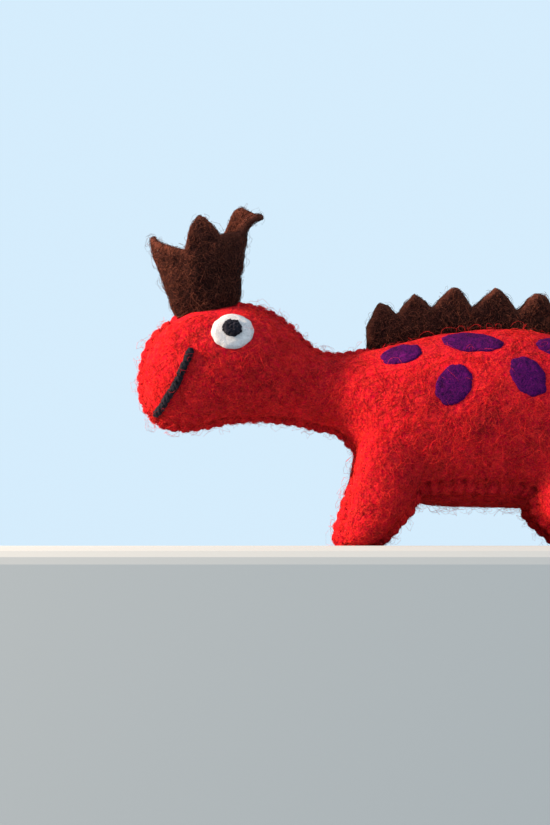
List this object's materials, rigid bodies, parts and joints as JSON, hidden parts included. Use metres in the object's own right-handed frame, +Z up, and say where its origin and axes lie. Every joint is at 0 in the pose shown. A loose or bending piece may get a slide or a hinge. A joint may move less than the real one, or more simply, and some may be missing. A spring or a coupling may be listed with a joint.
{
  "type": "hand puppet",
  "caption": "Stuffed felt dinosaur hand puppet on four short legs, with a felt crown, a zigzag back crest, felt spots and a lined pocket that opens under the tail.",
  "frame": {"origin": "middle of the box that holds the puppet, on the surface that it stands on", "axes": "the puppet faces -X, its left side is at -Y, and +Z is up"},
  "size_m": [0.236, 0.0507, 0.1135],
  "materials": {
    "red_felt": "thick fuzzy wool felt",
    "brown_felt": "thick fuzzy wool felt",
    "purple_felt": "thin wool felt patch",
    "white_felt": "thin wool felt patch",
    "black_thread": "twisted cotton thread",
    "red_thread": "twisted wool thread",
    "wadding": "loose wool wadding",
    "lining": "plain woven cotton"
  },
  "bodies": {
    "torso": {"torso_left_panel": "red_felt", "torso_right_panel": "red_felt", "belly_gusset": "red_felt", "torso_stuffing": "wadding", "belly_seams": "red_thread", "hand_pocket": "lining", "pocket_hem": "red_thread", "back_crest": "brown_felt", "left_spot_1": "purple_felt", "left_spot_2": "purple_felt", "left_spot_3": "purple_felt", "left_spot_4": "purple_felt", "left_spot_5": "purple_felt", "left_spot_6": "purple_felt", "right_spot_1": "purple_felt", "right_spot_2": "purple_felt", "right_spot_3": "purple_felt", "right_spot_4": "purple_felt", "right_spot_5": "purple_felt", "right_spot_6": "purple_felt"},
    "neck": {"neck_left_panel": "red_felt", "neck_right_panel": "red_felt", "neck_stuffing": "wadding", "neck_seams": "red_thread"},
    "head": {"head_left_panel": "red_felt", "head_right_panel": "red_felt", "head_stuffing": "wadding", "head_seam": "red_thread", "crown": "brown_felt", "left_eye": "white_felt", "right_eye": "white_felt", "left_pupil": "black_thread", "right_pupil": "black_thread", "left_mouth_thread": "black_thread", "right_mouth_thread": "black_thread"},
    "tail": {"tail_left_panel": "red_felt", "tail_right_panel": "red_felt", "tail_stuffing": "wadding", "tail_crest": "brown_felt", "tail_seam": "red_thread"},
    "front_left_leg": {"front_left_leg_outer_panel": "red_felt", "front_left_leg_inner_panel": "red_felt", "front_left_leg_stuffing": "wadding"},
    "front_right_leg": {"front_right_leg_outer_panel": "red_felt", "front_right_leg_inner_panel": "red_felt", "front_right_leg_stuffing": "wadding"},
    "hind_left_leg": {"hind_left_leg_outer_panel": "red_felt", "hind_left_leg_inner_panel": "red_felt", "hind_left_leg_stuffing": "wadding"},
    "hind_right_leg": {"hind_right_leg_outer_panel": "red_felt", "hind_right_leg_inner_panel": "red_felt", "hind_right_leg_stuffing": "wadding"}
  },
  "joints": [
    {"name": "neck_bend", "type": "hinge", "parent": "torso", "child": "neck", "pos_m": [-0.043, 0, 0.0505], "axis": [0, 1, 0], "range_deg": [-15, 15], "stiffness_Nm_per_rad": 0.08},
    {"name": "head_turn", "type": "hinge", "parent": "neck", "child": "head", "pos_m": [-0.064, 0, 0.057], "axis": [0, 0, 1], "range_deg": [-25, 25], "stiffness_Nm_per_rad": 0.04},
    {"name": "tail_swing", "type": "hinge", "parent": "torso", "child": "tail", "pos_m": [0.0485, 0, 0.057], "axis": [0, 0, 1], "range_deg": [-25, 25], "stiffness_Nm_per_rad": 0.03},
    {"name": "front_left_leg_swing", "type": "hinge", "parent": "torso", "child": "front_left_leg", "pos_m": [-0.037, -0.0136, 0.018], "axis": [0, 1, 0], "range_deg": [-10, 10], "stiffness_Nm_per_rad": 0.06},
    {"name": "front_right_leg_swing", "type": "hinge", "parent": "torso", "child": "front_right_leg", "pos_m": [-0.037, 0.0136, 0.018], "axis": [0, 1, 0], "range_deg": [-10, 10], "stiffness_Nm_per_rad": 0.06},
    {"name": "hind_left_leg_swing", "type": "hinge", "parent": "torso", "child": "hind_left_leg", "pos_m": [0.031, -0.0136, 0.018], "axis": [0, 1, 0], "range_deg": [-10, 10], "stiffness_Nm_per_rad": 0.06},
    {"name": "hind_right_leg_swing", "type": "hinge", "parent": "torso", "child": "hind_right_leg", "pos_m": [0.031, 0.0136, 0.018], "axis": [0, 1, 0], "range_deg": [-10, 10], "stiffness_Nm_per_rad": 0.06}
  ]
}
